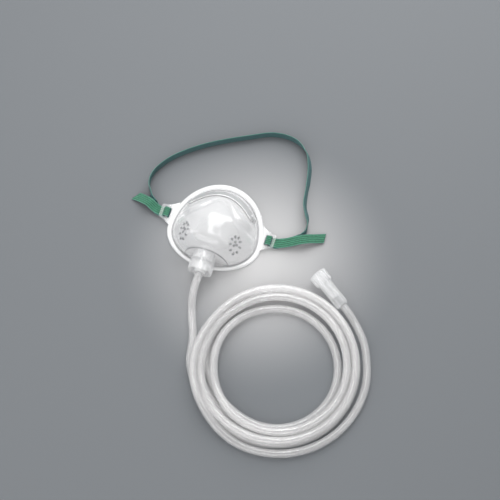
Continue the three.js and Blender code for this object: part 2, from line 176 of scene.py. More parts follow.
def even(points, step):
    """Points at even distances along a dense polyline."""
    lengths = [0.0]
    for a, b in zip(points, points[1:]):
        lengths.append(lengths[-1] + (b - a).length)
    count = max(2, round(lengths[-1] / step))
    out = []
    k = 0
    for i in range(count + 1):
        want = lengths[-1] * i / count
        while k < len(points) - 2 and lengths[k + 1] < want:
            k += 1
        span = lengths[k + 1] - lengths[k]
        out.append(points[k].lerp(points[k + 1], (want - lengths[k]) / span if span else 0))
    return out


# ---- meshes ---------------------------------------------------------------------------
def add_object(name, vertices, faces, materials, smooth=True):
    mesh = bpy.data.meshes.new(name)
    mesh.from_pydata([tuple(Vector(v) * MM) for v in vertices], [], faces)
    mesh.validate()
    piece = bpy.data.objects.new(name, mesh)
    bpy.context.collection.objects.link(piece)
    for look in materials:
        mesh.materials.append(look)
    for face in mesh.polygons:
        face.use_smooth = smooth
    return piece


def face_out(piece, merge=0):
    """Turns all faces outwards, once points closer than merge, in metres, are joined."""
    bm = bmesh.new()
    bm.from_mesh(piece.data)
    if merge:
        bmesh.ops.remove_doubles(bm, verts=bm.verts, dist=merge)
    bmesh.ops.recalc_face_normals(bm, faces=bm.faces)
    bm.to_mesh(piece.data)
    bm.free()


def grid_faces(rows, columns, close_rows=False, close_columns=True):
    """Quads between the points of a grid stored row by row."""
    faces = []
    for i in range(rows if close_rows else rows - 1):
        for j in range(columns if close_columns else columns - 1):
            a, b = i * columns, (i + 1) % rows * columns
            k = (j + 1) % columns
            faces.append((a + j, a + k, b + k, b + j))
    return faces


def apply(piece, kind, **settings):
    """Adds a modifier, sets it and applies it at once."""
    modifier = piece.modifiers.new(kind.lower(), kind)
    for key, value in settings.items():
        setattr(modifier, key, value)
    depsgraph = bpy.context.evaluated_depsgraph_get()
    mesh = bpy.data.meshes.new_from_object(piece.evaluated_get(depsgraph))
    piece.modifiers.remove(modifier)
    old = piece.data
    piece.data = mesh
    mesh.name = piece.name
    bpy.data.meshes.remove(old)
    return piece


def smooth_by_angle(piece, degrees=35):
    piece.data.shade_smooth()
    bm = bmesh.new()
    bm.from_mesh(piece.data)
    limit = math.radians(degrees)
    for edge in bm.edges:
        if len(edge.link_faces) == 2:
            edge.smooth = edge.calc_face_angle(0) < limit
    bm.to_mesh(piece.data)
    bm.free()
    return piece


def cut(piece, cutters, operation="DIFFERENCE"):
    """Cuts the cutters from the piece, or joins them to it, and removes them."""
    for cutter in cutters:
        apply(piece, "BOOLEAN", object=cutter, operation=operation, solver="EXACT",
              material_mode="TRANSFER")
        mesh = cutter.data
        bpy.data.objects.remove(cutter)
        bpy.data.meshes.remove(mesh)
    return piece


def lathe(name, profile, place, materials, segments=64, warp=None):
    """Turns a closed profile of (radius, height) about its axis; place is a 4x4 in mm."""
    vertices = []
    for r, h in profile:
        for j in range(segments):
            a = 2 * math.pi * j / segments
            radius = warp(r, h, a) if warp else r
            vertices.append(place @ Vector((radius * math.cos(a), radius * math.sin(a), h)))
    faces = grid_faces(len(profile), segments, close_rows=True)
    piece = add_object(name, vertices, faces, materials)
    face_out(piece, merge=1e-6)
    return piece


def rounded(profile, radius=0.35, steps=3):
    """Rounds the corners of a closed profile of (radius, height) points."""
    points = [Vector(p) for p in profile]
    out = []
    for i, point in enumerate(points):
        before, after = points[i - 1], points[(i + 1) % len(points)]
        if point.x < 0.01:
            out.append(tuple(point))
            continue
        reach = min(radius, (before - point).length * 0.45, (after - point).length * 0.45)
        start = point + (before - point).normalized() * reach
        end = point + (after - point).normalized() * reach
        for k in range(steps + 1):
            t = k / steps
            out.append(tuple(start * (1 - t) ** 2 + point * 2 * t * (1 - t) + end * t ** 2))
    return out


# ---- materials ------------------------------------------------------------------------
def principled(name, color, roughness, **sockets):
    look = bpy.data.materials.new(name)
    look.use_nodes = True
    nodes = look.node_tree.nodes
    shader = nodes["Principled BSDF"]
    shader.inputs["Base Color"].default_value = (*color, 1)
    shader.inputs["Roughness"].default_value = roughness
    for key, value in sockets.items():
        shader.inputs[key.replace("_", " ")].default_value = value
    return look, nodes, look.node_tree.links, shader


def object_noise(nodes, links, scale, detail=3, stretch=(1, 1, 1)):
    """Noise in the object's own coordinates, which are the frame's metres."""
    where = nodes.new("ShaderNodeTexCoord")
    mapping = nodes.new("ShaderNodeMapping")
    mapping.inputs["Scale"].default_value = stretch
    noise = nodes.new("ShaderNodeTexNoise")
    noise.inputs["Scale"].default_value = scale
    noise.inputs["Detail"].default_value = detail
    links.new(where.outputs["Object"], mapping.inputs["Vector"])
    links.new(mapping.outputs["Vector"], noise.inputs["Vector"])
    return noise


def ramp(nodes, links, source, low, high, first, last):
    """Maps a value from low..high onto first..last colours."""
    node = nodes.new("ShaderNodeValToRGB")
    node.color_ramp.elements[0].position = low
    node.color_ramp.elements[1].position = high
    node.color_ramp.elements[0].color = (*first, 1)
    node.color_ramp.elements[1].color = (*last, 1)
    links.new(source, node.inputs["Fac"])
    return node


def grey(value):
    return (value, value, value)


def bump(nodes, links, shader, height, strength, distance):
    node = nodes.new("ShaderNodeBump")
    node.inputs["Strength"].default_value = strength
    node.inputs["Distance"].default_value = distance
    links.new(height, node.inputs["Height"])
    links.new(node.outputs["Normal"], shader.inputs["Normal"])


def map_range(nodes, links, source, first, last, low, high):
    """Maps first..last of a value onto low..high."""
    node = nodes.new("ShaderNodeMapRange")
    node.inputs["From Min"].default_value = first
    node.inputs["From Max"].default_value = last
    node.inputs["To Min"].default_value = low
    node.inputs["To Max"].default_value = high
    links.new(source, node.inputs["Value"])
    return node.outputs["Result"]


def vinyl(name, color, transmission, facing, grazing, roughness, ripple=0.15, edge=0.8):
    """Moulded soft PVC, clear or milky.

    Where it is seen edge on there is more of it to look through, so it covers more and
    darkens a little. A faint unevenness and cloudy roughness keep it from looking perfect.
    """
    look, nodes, links, shader = principled(
        name, color, roughness, Transmission_Weight=transmission, IOR=1.45,
        Coat_Weight=0.8, Coat_Roughness=0.23, Coat_IOR=1.85,
    )
    weight = nodes.new("ShaderNodeLayerWeight")
    weight.inputs["Blend"].default_value = 0.35
    cover = map_range(nodes, links, weight.outputs["Facing"], 0.0, 0.9, facing, grazing)
    links.new(cover, shader.inputs["Alpha"])
    tone = ramp(nodes, links, weight.outputs["Facing"], 0.45, 1.0, color, [c * edge for c in color])
    links.new(tone.outputs["Color"], shader.inputs["Base Color"])
    wave = object_noise(nodes, links, 90, 2)
    bump(nodes, links, shader, wave.outputs["Fac"], ripple, 0.0006)
    cloud = object_noise(nodes, links, 260, 4)
    rough = ramp(
        nodes, links, cloud.outputs["Fac"], 0.3, 0.75,
        grey(roughness * 0.75), grey(roughness * 1.35),
    )
    links.new(rough.outputs["Color"], shader.inputs["Roughness"])
    return look


def rim_vinyl():
    """The rim's thicker vinyl, milky all round and clearer towards the tabs' ends."""
    look = vinyl("milky_rim", (0.95, 0.95, 0.95), 0.25, 0.62, 0.92, 0.2)
    nodes, links = look.node_tree.nodes, look.node_tree.links
    where = nodes.new("ShaderNodeTexCoord")
    split = nodes.new("ShaderNodeSeparateXYZ")
    links.new(where.outputs["Object"], split.inputs["Vector"])
    away = nodes.new("ShaderNodeMath")
    away.operation = "ABSOLUTE"
    links.new(split.outputs["X"], away.inputs[0])
    start, end = (RIM_HALF_WIDTH - 1) * MM, (RIM_HALF_WIDTH + 5) * MM
    cover = map_range(nodes, links, away.outputs[0], start, end, 0.6, 0.14)
    links.new(cover, nodes["Principled BSDF"].inputs["Alpha"])
    return look


def aluminium():
    look, nodes, links, shader = principled("aluminium_strip", (0.74, 0.74, 0.74), 0.5, Metallic=0.85)
    grain = object_noise(nodes, links, 900, 3, (0.15, 1, 1))
    bump(nodes, links, shader, grain.outputs["Fac"], 0.12, 0.0002)
    tone = ramp(nodes, links, grain.outputs["Fac"], 0.3, 0.7, grey(0.36), grey(0.5))
    links.new(tone.outputs["Color"], shader.inputs["Roughness"])
    return look


def elastic():
    """Braided elastic: ribs along the strap with a fine cross weave, by the strap's own UVs.

    U runs along the strap in metres. V runs across it, 0 to 1 on the green face and 2 to 3
    on the darker face that lies against the head.
    """
    look, nodes, links, shader = principled(
        "green_elastic", (0.04, 0.22, 0.12), 0.85, Sheen_Weight=0.12, Sheen_Roughness=0.5,
    )
    uv = nodes.new("ShaderNodeUVMap")
    uv.uv_map = "along"
    split = nodes.new("ShaderNodeSeparateXYZ")
    links.new(uv.outputs["UV"], split.inputs["Vector"])

    def calculate(operation, first, second=None, third=None):
        node = nodes.new("ShaderNodeMath")
        node.operation = operation
        for socket, value in zip(node.inputs, (first, second, third)):
            if isinstance(value, (int, float)):
                socket.default_value = value
            elif value is not None:
                links.new(value, socket)
        return node.outputs[0]

    def wave(axis, per_unit):
        turns = calculate("MULTIPLY", split.outputs[axis], per_unit * 2 * math.pi)
        return calculate("SINE", turns)

    rib = wave("Y", STRAP_RIBS)
    cross = calculate("MULTIPLY", rib, wave("X", 1300))
    height = calculate("MULTIPLY_ADD", cross, 0.45, rib)
    bump(nodes, links, shader, height, 0.7, 0.0003)
    fuzz = object_noise(nodes, links, 700, 4)
    # Painted shade: the colour is darker in the grooves between the ribs and in the weave; the noise
    # adds random tone.
    groove_shade_and_fuzz = calculate("MULTIPLY_ADD", height, 0.3, fuzz.outputs["Fac"])
    green = ramp(nodes, links, groove_shade_and_fuzz, 0.2, 0.85, (0.011, 0.074, 0.042), (0.046, 0.21, 0.122))
    teal = ramp(nodes, links, groove_shade_and_fuzz, 0.2, 0.85, (0.006, 0.05, 0.05), (0.022, 0.12, 0.125))
    inner_face = calculate("GREATER_THAN", split.outputs["Y"], 1.5)
    # Painted shade: the ribbon's colour turns darker teal wherever it stands on its edge, by how
    # upright its faces are.
    geometry = nodes.new("ShaderNodeNewGeometry")
    upward = nodes.new("ShaderNodeSeparateXYZ")
    links.new(geometry.outputs["Normal"], upward.inputs["Vector"])
    level = calculate("ABSOLUTE", upward.outputs["Z"])
    painted_edge_shade = map_range(nodes, links, level, 0.5, 0.8, 1.0, 0.0)
    reverse_face_and_edge_shade = calculate("MAXIMUM", inner_face, painted_edge_shade)
    faces = nodes.new("ShaderNodeMixRGB")
    links.new(reverse_face_and_edge_shade, faces.inputs["Fac"])
    links.new(green.outputs["Color"], faces.inputs["Color1"])
    links.new(teal.outputs["Color"], faces.inputs["Color2"])
    # Painted highlight: a paler band is painted along both edges of each face.
    width = calculate("FRACT", split.outputs["Y"])
    off_middle = calculate("ABSOLUTE", calculate("SUBTRACT", width, 0.5))
    painted_edge_highlight = map_range(nodes, links, off_middle, 0.445, 0.47, 0.0, 0.55)
    edge_highlight_mix = nodes.new("ShaderNodeMixRGB")
    edge_highlight_mix.inputs["Color2"].default_value = (0.16, 0.36, 0.30, 1)
    links.new(painted_edge_highlight, edge_highlight_mix.inputs["Fac"])
    links.new(faces.outputs["Color"], edge_highlight_mix.inputs["Color1"])
    links.new(edge_highlight_mix.outputs["Color"], shader.inputs["Base Color"])
    return look


CLEAR = vinyl("clear_vinyl", (0.99, 0.99, 0.99), 0.4, 0.31, 0.78, 0.16)
# Painted shade: a dark grey vinyl for the groove at the dome's foot, the lip on the chin's crease,
# and the vents' lips and holes.
CREASE_SHADE = vinyl("vinyl_painted_crease_shade", (0.22, 0.22, 0.23), 0.35, 0.48, 0.85, 0.2)
MILKY = rim_vinyl()
SLEEVE = vinyl("milky_vinyl", (0.9, 0.9, 0.9), 0.3, 0.55, 0.9, 0.22)
PLASTIC = vinyl("clear_plastic", (0.95, 0.955, 0.955), 0.5, 0.26, 0.8, 0.06, 0.05)
TUBING = vinyl("clear_tubing", (0.89, 0.88, 0.875), 0.5, 0.22, 0.8, 0.08, 0.05)
STRIP = aluminium()
ELASTIC = elastic()


# ---- the supply tubing ----------------------------------------------------------------
LEAD_POINTS = [
    (0, PORT_Y - SLEEVE_END - 0.3, PORT_HEIGHT),
    (0, PORT_Y - SLEEVE_END - 4.3, PORT_HEIGHT),
    (-0.6, -54, 11.5),
    (0, -62, 6.4),
    (1.8, -70, 3.7),
    (4.6, -78, TUBE_FLOOR),
    (8.2, -86.5, TUBE_FLOOR),
]
TAIL_POINTS = [
    (142.2, -60.5, TUBE_FLOOR),
    (135.2, -50, TUBE_FLOOR),
    (127.4, -41.6, TUBE_FLOOR + 0.35),
    (121.2, -36.4, TUBE_FLOOR + 1.76),
]


def connector_axis():
    flat = math.cos(CONNECTOR_PITCH)
    return Vector((
        math.cos(CONNECTOR_HEADING) * flat, math.sin(CONNECTOR_HEADING) * flat,
        math.sin(CONNECTOR_PITCH),
    ))


COIL_START = math.radians(180)
# Where the coil changes its track: turns made so far, radius, height above the bottom layer,
# and how far the turn's centre is off the coil's along x and y.
COIL_TRACKS = [
    (0.00, 69.4, 0.00, 0.0, 0.0),
    (0.16, 62.4, 0.00, 0.0, 0.0),
    (1.00, 62.4, 0.00, 0.0, 0.0),
    (1.18, 56.1, 0.00, 0.0, 0.0),
    (1.98, 56.1, 0.00, 0.0, 0.0),
    (2.20, 48.0, 0.00, 0.2, -2.0),
    (2.82, 48.0, 0.00, 0.2, -2.0),
    (3.02, 49.6, 0.97 * TUBE_WIDTH, 0.8, -1.0),
    (3.22, 53.0, 0.90 * TUBE_WIDTH, 1.2, -0.5),
    (3.86, 54.4, 0.90 * TUBE_WIDTH, 0.4, 0.0),
    (4.16, 61.1, 0.99 * TUBE_WIDTH, 0.0, 0.0),
    (4.92, 61.3, 0.99 * TUBE_WIDTH, 0.0, 0.0),
    (5.10, 66.4, 0.99 * TUBE_WIDTH, 0.0, 0.0),
    (5.24, 69.2, 0.00, 0.0, 0.0),
    (5.52, 70.8, 0.00, 0.0, 0.0),
]


def coil_point(turn):
    """Point of the coil's middle line after a number of turns."""
    k = 0
    while k < len(COIL_TRACKS) - 2 and COIL_TRACKS[k + 1][0] < turn:
        k += 1
    before, after = COIL_TRACKS[k], COIL_TRACKS[k + 1]
    mix = smoothstep(before[0], after[0], turn)
    radius, lift, dx, dy = (a + (b - a) * mix for a, b in zip(before[1:], after[1:]))
    angle = COIL_START + 2 * math.pi * turn
    return Vector((
        COIL_X + dx + radius * math.cos(angle), COIL_Y + dy + radius * math.sin(angle),
        TUBE_FLOOR + lift,
    ))


def tubing_points():
    """The whole tube's middle line, from the mask's sleeve to the supply connector."""
    per_turn = 24
    steps = round(COIL_TRACKS[-1][0] * per_turn)
    points = [Vector(p) for p in LEAD_POINTS]
    points += [coil_point(COIL_TRACKS[-1][0] * i / steps) for i in range(steps + 1)]
    points += [Vector(p) for p in TAIL_POINTS]
    points.append(CONNECTOR_START - connector_axis() * 0.4)
    return points


def transported(points, first):
    """A frame at each point that turns no more than the path does."""
    frames = []
    across = Vector(first)
    for i, point in enumerate(points):
        tangent = (points[min(i + 1, len(points) - 1)] - points[max(i - 1, 0)]).normalized()
        across = (across - tangent * across.dot(tangent)).normalized()
        frames.append((point, tangent, across, tangent.cross(across)))
    return frames


def hollow_tube(name, points, outer, bore, materials, sides=24):
    """A tube with an open bore, its two walls joined by a ring at each end."""
    frames = transported(points, (1, 0, 0))
    vertices = []
    for radius, run in ((outer, frames), (bore, frames[::-1])):
        for at, _, a, b in run:
            for j in range(sides):
                turn = 2 * math.pi * j / sides
                vertices.append(at + (a * math.cos(turn) + b * math.sin(turn)) * radius)
    faces = grid_faces(2 * len(frames), sides, close_rows=True)
    piece = add_object(name, vertices, faces, materials)
    face_out(piece)
    return piece


def supply_tube():
    dense = [catmull(tubing_points(), i / 6000) for i in range(6001)]
    path = even(dense, 2.2)
    piece = hollow_tube("supply_tube", path, TUBE_RADIUS, TUBE_BORE, [TUBING])
    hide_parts("tube_lead", "tube_coil", "tube_tail")
    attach(piece, "mask")


# ---- the head strap -------------------------------------------------------------------
def under_tab(x):
    return TAB_BOTTOM + (x - TAB_ROOT) * math.tan(TAB_TILT)


def lacing(side):
    """The strap's way through a tab, from its free tail to the side round the head."""
    half = STRAP_THICKNESS / 2
    clear = 0.65 + half
    lean = TAB_THICKNESS / math.cos(TAB_TILT)
    outer_slot = TAB_END - 2.6 - 1 + 0.1
    middle_bar = outer_slot - 1 - 1.1
    inner_slot = middle_bar - 1.1 - 1 - 0.1
    over = under_tab(middle_bar) + lean + clear
    places = [
        (TAB_END + 0.6, under_tab(TAB_END) - clear),
        (TAB_END - 1.3, under_tab(TAB_END - 1.3) - clear),
        (outer_slot + 0.5, under_tab(outer_slot) - 0.5),
        (outer_slot, under_tab(outer_slot) + lean * 0.5),
        (outer_slot - 0.35, over - 0.05),
        (middle_bar + 0.1, over + 0.2),
        (inner_slot + 0.35, over - 0.5),
        (inner_slot, under_tab(inner_slot) + lean * 0.5),
        (inner_slot + 0.5, under_tab(inner_slot) - 0.4),
        (inner_slot + 2.2, half + 0.12),
        (TAB_END + 0.5, half + 0.06),
    ]
    return [(side * x, TAB_Y, z, 0) for x, z in places]


def beyond(side, distance, y, z, stand=0):
    return (side * (TAB_END + distance), y, z, stand)


EDGE = STRAP_WIDTH / 2 + 0.1
# How much shorter one corner of each cut end is, and how far in from the end that is spread.
LEFT_SLANT = 4.2
RIGHT_SLANT = 3.4
SLANT_REACH = 12.0
# The strap's middle line from the left tail to the right one: x, y, height, and the angle in
# degrees at which the ribbon stands, 0 lying flat and 90 on its edge.
STRAP_STATIONS = [
    beyond(-1, 25.9, 11, 0.6),
    beyond(-1, 18, 9.2, 3.6),
    beyond(-1, 10.5, 6.7, 6.1),
    beyond(-1, 4.5, 4.3, 3.6),
    *lacing(-1),
    beyond(-1, 3.5, 4.6, 0.5),
    beyond(-1, 6.9, 7, 0.5, -8),
    beyond(-1, 10.1, 10.9, 2.1, -46),
    beyond(-1, 12.3, 15.8, EDGE, -86),
    beyond(-1, 16.2, 22, EDGE, -90),
    beyond(-1, 17.3, 28.5, EDGE, -90),
    beyond(-1, 16.3, 34.8, EDGE, -90),
    beyond(-1, 12.9, 42, EDGE, -90),
    (-56, 51, EDGE, -90),
    (-45.5, 61, EDGE, -90),
    (-28, 73.5, EDGE, -90),
    (0, 88.5, EDGE, -90),
    (22, 98, EDGE, -90),
    (40, 97.5, EDGE, -88),
    (52.4, 89, EDGE, -74),
    (57.6, 78.5, EDGE, -66),
    (60.4, 66, EDGE, -68),
    beyond(1, 12.3, 54.5, EDGE, -74),
    beyond(1, 14.4, 42, EDGE, -70),
    beyond(1, 18.8, 33, EDGE, -66),
    beyond(1, 21, 26.2, EDGE, -90),
    beyond(1, 21.4, 20.2, EDGE, -84),
    beyond(1, 20.4, 15.8, 3.2, -58),
    beyond(1, 17.2, 12, 1.4, -24),
    beyond(1, 12, 8.9, 0.6, -4),
    beyond(1, 7.5, 6.9, 0.5),
    beyond(1, 4.1, 5.4, 0.5),
    *lacing(1)[::-1],
    beyond(1, 4.5, 4.3, 3.2),
    beyond(1, 11.5, 7, 5),
    beyond(1, 18.5, 10.2, 7),
    beyond(1, 25, 13.6, 6),
    beyond(1, 30.5, 16.3, 3.6),
    beyond(1, 39.4, 20.5, 1.0),
]


def strap_frames(count=900):
    """Point, lengthwise, widthwise and facing direction along the strap."""
    points = [Vector(s[:3]) for s in STRAP_STATIONS]
    spans = len(points) - 1
    flat = Vector((0, 1, 0))
    frames = []
    for i in range(count + 1):
        t = i / count
        tangent = (catmull(points, t + 2e-4) - catmull(points, t - 2e-4)).normalized()
        level = Vector((0, 0, 1)).cross(tangent)
        if level.length > 0.35:
            flat = level.normalized() * (1 if level.dot(flat) > 0 else -1)
        else:
            flat = (flat - tangent * flat.dot(tangent)).normalized()
        k = min(int(t * spans), spans - 1)
        mix = smoothstep(0, 1, t * spans - k)
        stand = STRAP_STATIONS[k][3] * (1 - mix) + STRAP_STATIONS[k + 1][3] * mix
        across = Quaternion(tangent, math.radians(stand)) @ flat
        facing = across.cross(tangent)
        at = catmull(points, t)
        rest = (abs(across.z) * STRAP_WIDTH + abs(facing.z) * STRAP_THICKNESS) / 2
        at.z = max(at.z, rest + 0.05)
        frames.append((at, tangent, across, facing))
    return frames


def head_strap():
    """A ribbon with rounded edges and shallow ribs along both faces."""
    frames = strap_frames()
    half_w, half_t = STRAP_WIDTH / 2, STRAP_THICKNESS / 2
    steps = 4 * STRAP_RIBS
    section = []
    across_strap = []
    for face in (1, -1):
        for i in range(steps + 1):
            u = -1 + 2 * i / steps
            dent = RIB_DEPTH * (0.5 + 0.5 * math.cos(u * STRAP_RIBS * math.pi))
            edge = half_t * (1 - max(0, (abs(u) - 0.94) / 0.06) ** 2 * 0.75)
            section.append((u * face * half_w, face * (edge - dent)))
            across_strap.append((2 if face > 0 else 0) + 0.001 + 0.998 * (0.5 + u * face / 2))
    columns = len(section)
    travelled = 0.0
    vertices, along = [], []
    last = frames[0][0]
    for at, _, across, facing in frames:
        travelled += (at - last).length
        last = at
        for (w, h), v in zip(section, across_strap):
            vertices.append(at + across * w + facing * h)
            along.append((travelled * MM, v))
    rows = len(frames)
    for end, direction, cut_back in ((0, 1, LEFT_SLANT), (rows - 1, -1, RIGHT_SLANT)):
        row, away = end, 0.0
        while away < SLANT_REACH:
            for j, (w, _) in enumerate(section):
                share = (0.5 + direction * w / STRAP_WIDTH) * (1 - away / SLANT_REACH)
                k = row * columns + j
                vertices[k] = vertices[k] + frames[row][1] * direction * share * cut_back
            row += direction
            away += (frames[row][0] - frames[row - direction][0]).length
    faces = grid_faces(rows, columns)
    faces.append(tuple(range(columns)))
    faces.append(tuple(range((rows - 1) * columns, rows * columns))[::-1])
    piece = add_object("head_strap_visible", vertices, faces, [ELASTIC])
    layer = piece.data.uv_layers.new(name="along")
    for loop in piece.data.loops:
        layer.data[loop.index].uv = along[loop.vertex_index]
    face_out(piece)
    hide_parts("head_strap")
    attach(piece, "mask")


# ---- the mask shell -------------------------------------------------------------------
def outline(angle, side, nose, chin):
    """Radius of the rim's outline around the mask's centre, moved in by the three insets."""
    c, s = math.cos(angle), math.sin(angle)
    width = RIM_HALF_WIDTH - side
    length = RIM_NOSE - nose if s > 0 else RIM_CHIN - chin
    return 1 / math.hypot(c / width, s / length)


CHIN_FACE = -26.8
CHIN_EDGE = 0.9
RIDGE_DEPTH = 1.6
CROWN_SPREAD = 9.0


def dome_radius(angle):
    return outline(angle, RIM_SIDE_WIDTH, RIM_NOSE_WIDTH, RIM_CHIN_WIDTH)


def fullness(angle):
    s = math.sin(angle)
    nose = smoothstep(0.35, 1, s)
    chin = smoothstep(0.2, 1, -s)
    plan = 1.75 + nose * (1.35 - 1.75) + chin * (4 - 1.75)
    height = 1.35 + nose * (1.15 - 1.35) + chin * (1.9 - 1.35)
    return plan, height


def dome_point(angle, rise):
    plan, height = fullness(angle)
    turn = rise * math.pi / 2
    reach = max(math.cos(turn), 0) ** (2 / plan) * dome_radius(angle)
    up = math.sin(turn) ** (2 / height) * (DOME_TOP - RIM_THICKNESS)
    return Vector((
        reach * math.cos(angle), CENTRE_Y + reach * math.sin(angle), RIM_THICKNESS + up,
    ))


def plain_height(x, y):
    """Height of the plain dome over a point of the plan."""
    angle = math.atan2(y - CENTRE_Y, x)
    plan, height = fullness(angle)
    reach = min(math.hypot(x, y - CENTRE_Y) / dome_radius(angle), 1)
    level = math.sqrt(max(1 - reach ** plan, 0))
    return RIM_THICKNESS + level ** (2 / height) * (DOME_TOP - RIM_THICKNESS)


def soft_height(x, y):
    """The plain dome's height, evened out towards the top so that no crease is left there."""
    angle = math.atan2(y - CENTRE_Y, x)
    reach = math.hypot(x, y - CENTRE_Y) / dome_radius(angle)
    spread = CROWN_SPREAD * (1 - smoothstep(0.3, 0.8, reach))
    if spread < 0.01:
        return plain_height(x, y)
    total, weight = plain_height(x, y), 1
    for ring in (0.5, 1):
        for i in range(8):
            a = math.pi * (i + ring) / 4
            total += plain_height(x + spread * ring * math.cos(a), y + spread * ring * math.sin(a))
            weight += 1
    return total / weight


def ridge_line(x):
    """Where the nose ridge's shoulder runs: y of its edge at a distance from the middle."""
    return -1.5 + 19.5 * math.exp(-((x / 13) ** 2))


def shaped(point):
    """Adds the nose ridge's shoulder and the chin's flat face to a point of the plain dome."""
    x, y, z = point
    if z > RIM_THICKNESS + 0.5:
        z = soft_height(x, y)
    past = y - ridge_line(x)
    dip = smoothstep(-2.5, 2.5, past) * (1 - smoothstep(2.5, 9, past)) * smoothstep(4, 12, z)
    z -= RIDGE_DEPTH * dip
    # A smooth maximum rounds the edge between the dome and the chin's flat face.
    gap = y - CHIN_FACE
    y = CHIN_FACE + (gap + math.hypot(gap, CHIN_EDGE)) / 2
    return Vector((x, y, z))


def inner_wall(point):
    """The inner face's point behind a point of the outer one."""
    across = 1 - WALL / RIM_HALF_WIDTH
    lower = 1 - WALL / (DOME_TOP - RIM_THICKNESS)
    return Vector((
        point.x * across, CENTRE_Y + (point.y - CENTRE_Y) * across,
        RIM_THICKNESS + (point.z - RIM_THICKNESS) * lower,
    ))


def dome_over(x, y):
    """Point and normal of the dome's outer face over a point of the plan."""
    step = 0.4
    slope_x = (soft_height(x + step, y) - soft_height(x - step, y)) / (2 * step)
    slope_y = (soft_height(x, y + step) - soft_height(x, y - step)) / (2 * step)
    return Vector((x, y, soft_height(x, y))), Vector((-slope_x, -slope_y, 1)).normalized()


def shell_section(rings):
    """Steps of the shell's section, from the top down outside, round the rim and up inside."""
    steps = [("wall", (i / rings) ** 0.9, 0.0) for i in range(rings, 0, -1)]
    # The rim: a groove at the dome's foot, then a soft roll out to the edge and under it.
    steps += [
        ("rim", 0.0, 1.3), ("rim", 0.05, 1.1), ("rim", 0.13, 1.15), ("rim", 0.2, 1.55),
        ("rim", 0.3, 2.0), ("rim", 0.42, 2.3), ("rim", 0.56, 2.4), ("rim", 0.7, 2.3),
        ("rim", 0.82, 2.0), ("rim", 0.92, 1.55), ("rim", 0.98, 1.1),
        ("rim", 1.0, 0.7), ("rim", 0.97, 0.25), ("rim", 0.9, 0.03), ("rim", 0.6, 0.0),
        ("rim", 0.3, 0.0), ("rim", 0.0, 0.0), ("foot", 0.0, 0.0),
    ]
    steps += [("wall", (i / rings) ** 0.9, WALL) for i in range(1, rings + 1)]
    return steps


def shell_point(angle, step):
    kind, along, value = step
    if kind == "wall":
        point = shaped(dome_point(angle, along))
        return inner_wall(point) if value else point
    inner = dome_radius(angle)
    outer = outline(angle, 0, 0, 0)
    if kind == "foot":
        radius = inner * (1 - WALL / RIM_HALF_WIDTH)
    else:
        radius = inner + (outer - inner) * along
    return Vector((radius * math.cos(angle), CENTRE_Y + radius * math.sin(angle), value))


def groove(step):
    """Whether a step of the section lies in the groove at the dome's foot."""
    kind, along, height = step
    if kind == "wall":
        return along < 0.03
    return kind == "rim" and 0 < height < 1.6 and along < 0.21


def dome_mesh(segments=240, rings=64):
    """The dome and its rim in one closed skin, with a look for each part of it."""
    steps = shell_section(rings)
    clear, milky, crease_shade = range(3)
    vertices, faces, kinds = [shell_point(0, steps[0])], [], []
    rows = steps[1:-1]
    for step in rows:
        for j in range(segments):
            vertices.append(shell_point(2 * math.pi * j / segments, step))
    bottom = len(vertices)
    vertices.append(shell_point(0, steps[-1]))
    for j in range(segments):
        faces.append((0, 1 + j, 1 + (j + 1) % segments))
        kinds.append(clear)
    for i in range(len(rows) - 1):
        look = clear
        # The rings of the groove at the dome's foot take the dark vinyl, as painted shade.
        if rows[i][0] != "wall" or rows[i + 1][0] == "rim":
            look = crease_shade if groove(rows[i]) and groove(rows[i + 1]) else milky
        for j in range(segments):
            a, b = 1 + i * segments, 1 + (i + 1) * segments
            k = (j + 1) % segments
            faces.append((a + j, b + j, b + k, a + k))
            kinds.append(look)
    a = 1 + (len(rows) - 1) * segments
    for j in range(segments):
        faces.append((bottom, a + (j + 1) % segments, a + j))
        kinds.append(clear)
    piece = add_object("mask_shell_visible", vertices, faces, [CLEAR, MILKY, CREASE_SHADE])
    for face, kind in zip(piece.data.polygons, kinds):
        face.material_index = kind
    face_out(piece)
    return piece


def tab_outline():
    """The tab's outline in its own plane, x outwards from its root."""
    half_root, half_end, corner = 12.5, 6.25, 2
    end = TAB_REACH - corner
    p0, p1, p2 = (0, half_root), (TAB_REACH * 0.35, half_end * 1.24), (end, half_end)
    p0, p1, p2 = Vector(p0), Vector(p1), Vector(p2)
    points = []
    for i in range(13):
        t = i / 12
        points.append(p0 * (1 - t) ** 2 + p1 * 2 * t * (1 - t) + p2 * t ** 2)
    for i in range(1, 7):
        a = math.radians(90 - 15 * i)
        points.append(Vector((end + corner * math.cos(a), half_end - corner + corner * math.sin(a))))
    return points + [Vector((p.x, -p.y)) for p in reversed(points)]


def prism(name, outline_points, low, high, place, materials):
    """A prism over a closed outline; place moves it, in millimetres."""
    n = len(outline_points)
    vertices = [place @ Vector((p.x, p.y, low)) for p in outline_points]
    vertices += [place @ Vector((p.x, p.y, high)) for p in outline_points]
    faces = [tuple(range(n))[::-1], tuple(range(n, 2 * n))]
    faces += [(i, (i + 1) % n, n + (i + 1) % n, n + i) for i in range(n)]
    piece = add_object(name, vertices, faces, materials, smooth=False)
    face_out(piece)
    return piece


def tab_place(side):
    turn = Matrix.Rotation(math.pi, 4, "Z") if side < 0 else Matrix.Identity(4)
    move = Matrix.Translation((side * TAB_ROOT, TAB_Y, TAB_BOTTOM))
    return move @ turn @ Matrix.Rotation(-TAB_TILT, 4, "Y")


def slot_outline(middle):
    """A slot with round ends, across the tab."""
    half_w, half_l = 1.0, STRAP_WIDTH / 2 + 0.6
    points = []
    for end in (1, -1):
        for i in range(7):
            a = math.radians(30 * i) if end > 0 else math.radians(180 + 30 * i)
            points.append(Vector((
                middle + half_w * math.cos(a), end * (half_l - half_w) + half_w * math.sin(a),
            )))
    return points


